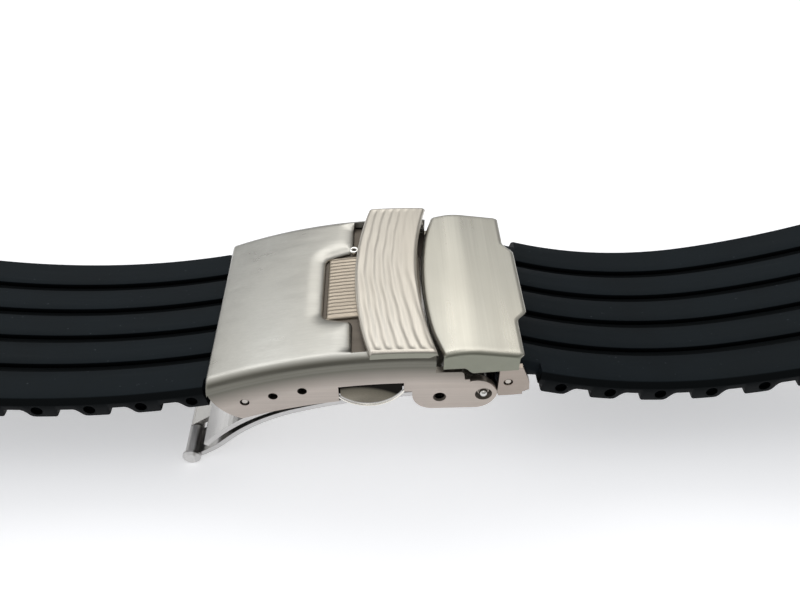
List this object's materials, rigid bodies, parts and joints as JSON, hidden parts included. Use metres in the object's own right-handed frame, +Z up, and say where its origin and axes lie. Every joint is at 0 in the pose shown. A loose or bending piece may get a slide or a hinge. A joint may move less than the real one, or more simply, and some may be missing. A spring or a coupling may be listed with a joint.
{
  "type": "rubber watch strap with fold-over clasp",
  "caption": "Ribbed rubber watch strap in two halves, joined by a closed steel fold-over clasp with a locking band and a thumb flap.",
  "frame": {"origin": "bottom centre of the bounding box, on the surface the strap lies on", "axes": "+X along the strap towards the end with the thumb flap, +Y across the strap, +Z up"},
  "size_m": [0.1862, 0.0236, 0.0186],
  "materials": {
    "satin_steel": "satin brushed stainless steel",
    "polished_steel": "polished stainless steel",
    "strap_rubber": "matt black moulded rubber"
  },
  "bodies": {
    "cover": {"cover_shell": "satin_steel", "bridge_plate": "satin_steel", "detent_stud": "polished_steel", "fold_rivet": "polished_steel", "flap_hinge_pins": "polished_steel", "clasp_bar_left_tube": "polished_steel", "clasp_bar_left_spring": "polished_steel"},
    "middle_blade": {"middle_blade": "polished_steel"},
    "lower_blade": {"lower_blade": "polished_steel", "barrel_pin": "polished_steel", "end_piece": "satin_steel", "end_rivets": "polished_steel", "clasp_bar_right_tube": "polished_steel", "clasp_bar_right_spring": "polished_steel"},
    "safety_band": {"safety_band": "satin_steel", "band_hinge_pins": "polished_steel"},
    "lock_flap": {"lock_flap": "satin_steel"},
    "strap_left": {"strap_half_left": "strap_rubber", "lug_bar_left_tube": "polished_steel", "lug_bar_left_spring": "polished_steel"},
    "strap_right": {"strap_half_right": "strap_rubber", "lug_bar_right_tube": "polished_steel", "lug_bar_right_spring": "polished_steel"},
    "clasp_bar_left_tip_near": {"clasp_bar_left_tip_near": "polished_steel"},
    "clasp_bar_left_tip_far": {"clasp_bar_left_tip_far": "polished_steel"},
    "clasp_bar_right_tip_near": {"clasp_bar_right_tip_near": "polished_steel"},
    "clasp_bar_right_tip_far": {"clasp_bar_right_tip_far": "polished_steel"},
    "lug_bar_left_tip_near": {"lug_bar_left_tip_near": "polished_steel"},
    "lug_bar_left_tip_far": {"lug_bar_left_tip_far": "polished_steel"},
    "lug_bar_right_tip_near": {"lug_bar_right_tip_near": "polished_steel"},
    "lug_bar_right_tip_far": {"lug_bar_right_tip_far": "polished_steel"}
  },
  "joints": [
    {"name": "fold_hinge", "type": "hinge", "parent": "cover", "child": "middle_blade", "pos_m": [0.01157, 0, 0.01188], "axis": [0, 1, 0], "range_deg": [-165, 0]},
    {"name": "blade_hinge", "type": "hinge", "parent": "middle_blade", "child": "lower_blade", "pos_m": [-0.01996, 0, 0.001], "axis": [0, 1, 0], "range_deg": [0, 165]},
    {"name": "band_lift", "type": "hinge", "parent": "cover", "child": "safety_band", "pos_m": [0.00621, 0, 0.0166], "axis": [0, 1, 0], "range_deg": [0, 34]},
    {"name": "flap_lift", "type": "hinge", "parent": "cover", "child": "lock_flap", "pos_m": [0.00786, 0, 0.01637], "axis": [0, 1, 0], "range_deg": [-40, 0]},
    {"name": "strap_left_swing", "type": "hinge", "parent": "cover", "child": "strap_left", "pos_m": [-0.01253, 0, 0.01139], "axis": [0, 1, 0], "range_deg": [-12, 1]},
    {"name": "strap_right_swing", "type": "hinge", "parent": "lower_blade", "child": "strap_right", "pos_m": [0.01409, 0, 0.01279], "axis": [0, 1, 0], "range_deg": [-2, 10]},
    {"name": "clasp_bar_left_press_near", "type": "slide", "parent": "cover", "child": "clasp_bar_left_tip_near", "axis": [0, 1, 0], "range_m": [0, 0.0009], "stiffness_N_per_m": 1200, "springref_m": -0.0004, "deforming": ["clasp_bar_left_spring"]},
    {"name": "clasp_bar_left_press_far", "type": "slide", "parent": "cover", "child": "clasp_bar_left_tip_far", "axis": [0, -1, 0], "range_m": [0, 0.0009], "stiffness_N_per_m": 1200, "springref_m": -0.0004, "deforming": ["clasp_bar_left_spring"]},
    {"name": "clasp_bar_right_press_near", "type": "slide", "parent": "lower_blade", "child": "clasp_bar_right_tip_near", "axis": [0, 1, 0], "range_m": [0, 0.0009], "stiffness_N_per_m": 1200, "springref_m": -0.0004, "deforming": ["clasp_bar_right_spring"]},
    {"name": "clasp_bar_right_press_far", "type": "slide", "parent": "lower_blade", "child": "clasp_bar_right_tip_far", "axis": [0, -1, 0], "range_m": [0, 0.0009], "stiffness_N_per_m": 1200, "springref_m": -0.0004, "deforming": ["clasp_bar_right_spring"]},
    {"name": "lug_bar_left_press_near", "type": "slide", "parent": "strap_left", "child": "lug_bar_left_tip_near", "axis": [0, 1, 0], "range_m": [0, 0.0009], "stiffness_N_per_m": 1200, "springref_m": -0.0004, "deforming": ["lug_bar_left_spring"]},
    {"name": "lug_bar_left_press_far", "type": "slide", "parent": "strap_left", "child": "lug_bar_left_tip_far", "axis": [0, -1, 0], "range_m": [0, 0.0009], "stiffness_N_per_m": 1200, "springref_m": -0.0004, "deforming": ["lug_bar_left_spring"]},
    {"name": "lug_bar_right_press_near", "type": "slide", "parent": "strap_right", "child": "lug_bar_right_tip_near", "axis": [0, 1, 0], "range_m": [0, 0.0009], "stiffness_N_per_m": 1200, "springref_m": -0.0004, "deforming": ["lug_bar_right_spring"]},
    {"name": "lug_bar_right_press_far", "type": "slide", "parent": "strap_right", "child": "lug_bar_right_tip_far", "axis": [0, -1, 0], "range_m": [0, 0.0009], "stiffness_N_per_m": 1200, "springref_m": -0.0004, "deforming": ["lug_bar_right_spring"]}
  ],
  "couplings": [
    {"joint": "blade_hinge", "follows": "fold_hinge", "ratio": -1}
  ]
}
